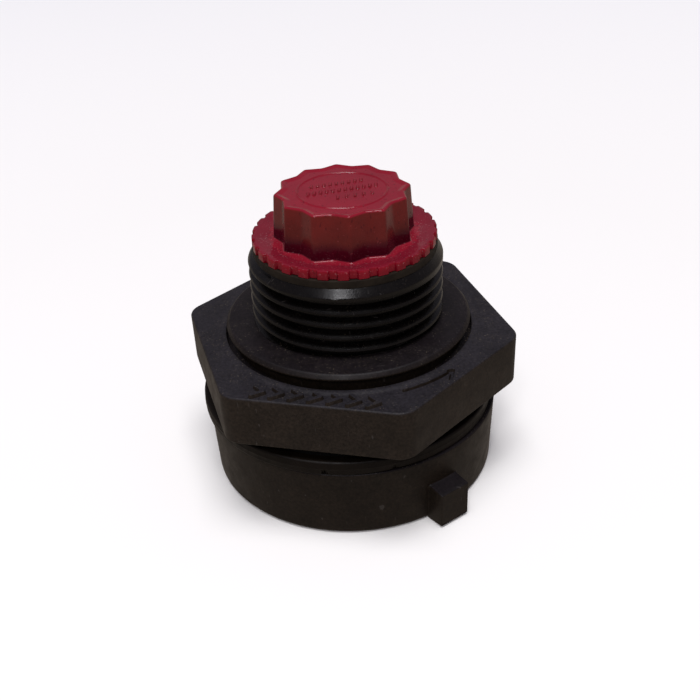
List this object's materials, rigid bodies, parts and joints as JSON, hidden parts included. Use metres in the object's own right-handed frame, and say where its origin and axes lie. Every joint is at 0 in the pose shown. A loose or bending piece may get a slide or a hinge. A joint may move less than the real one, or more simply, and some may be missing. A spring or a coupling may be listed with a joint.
{
  "type": "seacock valve",
  "caption": "Black plastic marine skin fitting with flange collar, lock nut and threaded spigot, closed by a red screw plug over a spring-loaded non-return valve.",
  "frame": {"origin": "centre of the mouth in the collar's outboard face, on the axis of the threads", "axes": "+Z along the axis of the threads, from the collar towards the spigot and the plug; -Y is the side with the lock nut's tighten mark"},
  "size_m": [0.0458, 0.0454, 0.0414],
  "materials": {
    "body_plastic": "matte glass-filled nylon",
    "nut_plastic": "matte glass-filled nylon, worn at its corners",
    "washer_plastic": "matte black",
    "seal_rubber": "satin moulded rubber",
    "grey_gasket": "matte dark grey",
    "red_plastic": "glossy moulded red plastic with fine scuffs",
    "white_plastic": "satin acetal",
    "stainless": "plain stainless",
    "bronze": "sintered bronze"
  },
  "bodies": {
    "fitting": {"valve_body": "body_plastic", "hull_gasket": "seal_rubber", "seat_ring": "white_plastic", "seat_o_ring": "seal_rubber", "guide_spider": "white_plastic", "guide_bush": "bronze", "spring_cup": "stainless", "retaining_ring": "stainless", "poppet_spring": "stainless"},
    "nut_thrust_washer": {"slip_washer": "washer_plastic"},
    "nut": {"lock_nut": "nut_plastic"},
    "plug_seal": {"plug_gasket": "grey_gasket"},
    "plug": {"screw_plug": "red_plastic", "plug_o_ring": "seal_rubber"},
    "poppet": {"poppet_disc": "white_plastic", "poppet_seal": "seal_rubber", "poppet_stem": "stainless", "stem_clip": "stainless"}
  },
  "joints": [
    {"name": "nut_travel", "type": "slide", "parent": "fitting", "child": "nut_thrust_washer", "axis": [0, 0, 1], "range_m": [0, 0.0057]},
    {"name": "nut_turn", "type": "hinge", "parent": "nut_thrust_washer", "child": "nut", "pos_m": [0, 0, 0.0175], "axis": [0, 0, -1], "range_deg": [0, 1020]},
    {"name": "plug_rise", "type": "slide", "parent": "fitting", "child": "plug_seal", "axis": [0, 0, 1], "range_m": [0, 0.0068]},
    {"name": "plug_turn", "type": "hinge", "parent": "plug_seal", "child": "plug", "pos_m": [0, 0, 0.0365], "axis": [0, 0, 1], "range_deg": [0, 1620]},
    {"name": "poppet_lift", "type": "slide", "parent": "fitting", "child": "poppet", "axis": [0, 0, -1], "range_m": [0, 0.002], "stiffness_N_per_m": 300, "springref_m": -0.003, "deforming": ["poppet_spring"]}
  ],
  "couplings": [
    {"joint": "nut_travel", "follows": "nut_turn", "m_per_rad": 0.00031831},
    {"joint": "plug_rise", "follows": "plug_turn", "m_per_rad": 0.00023873}
  ]
}
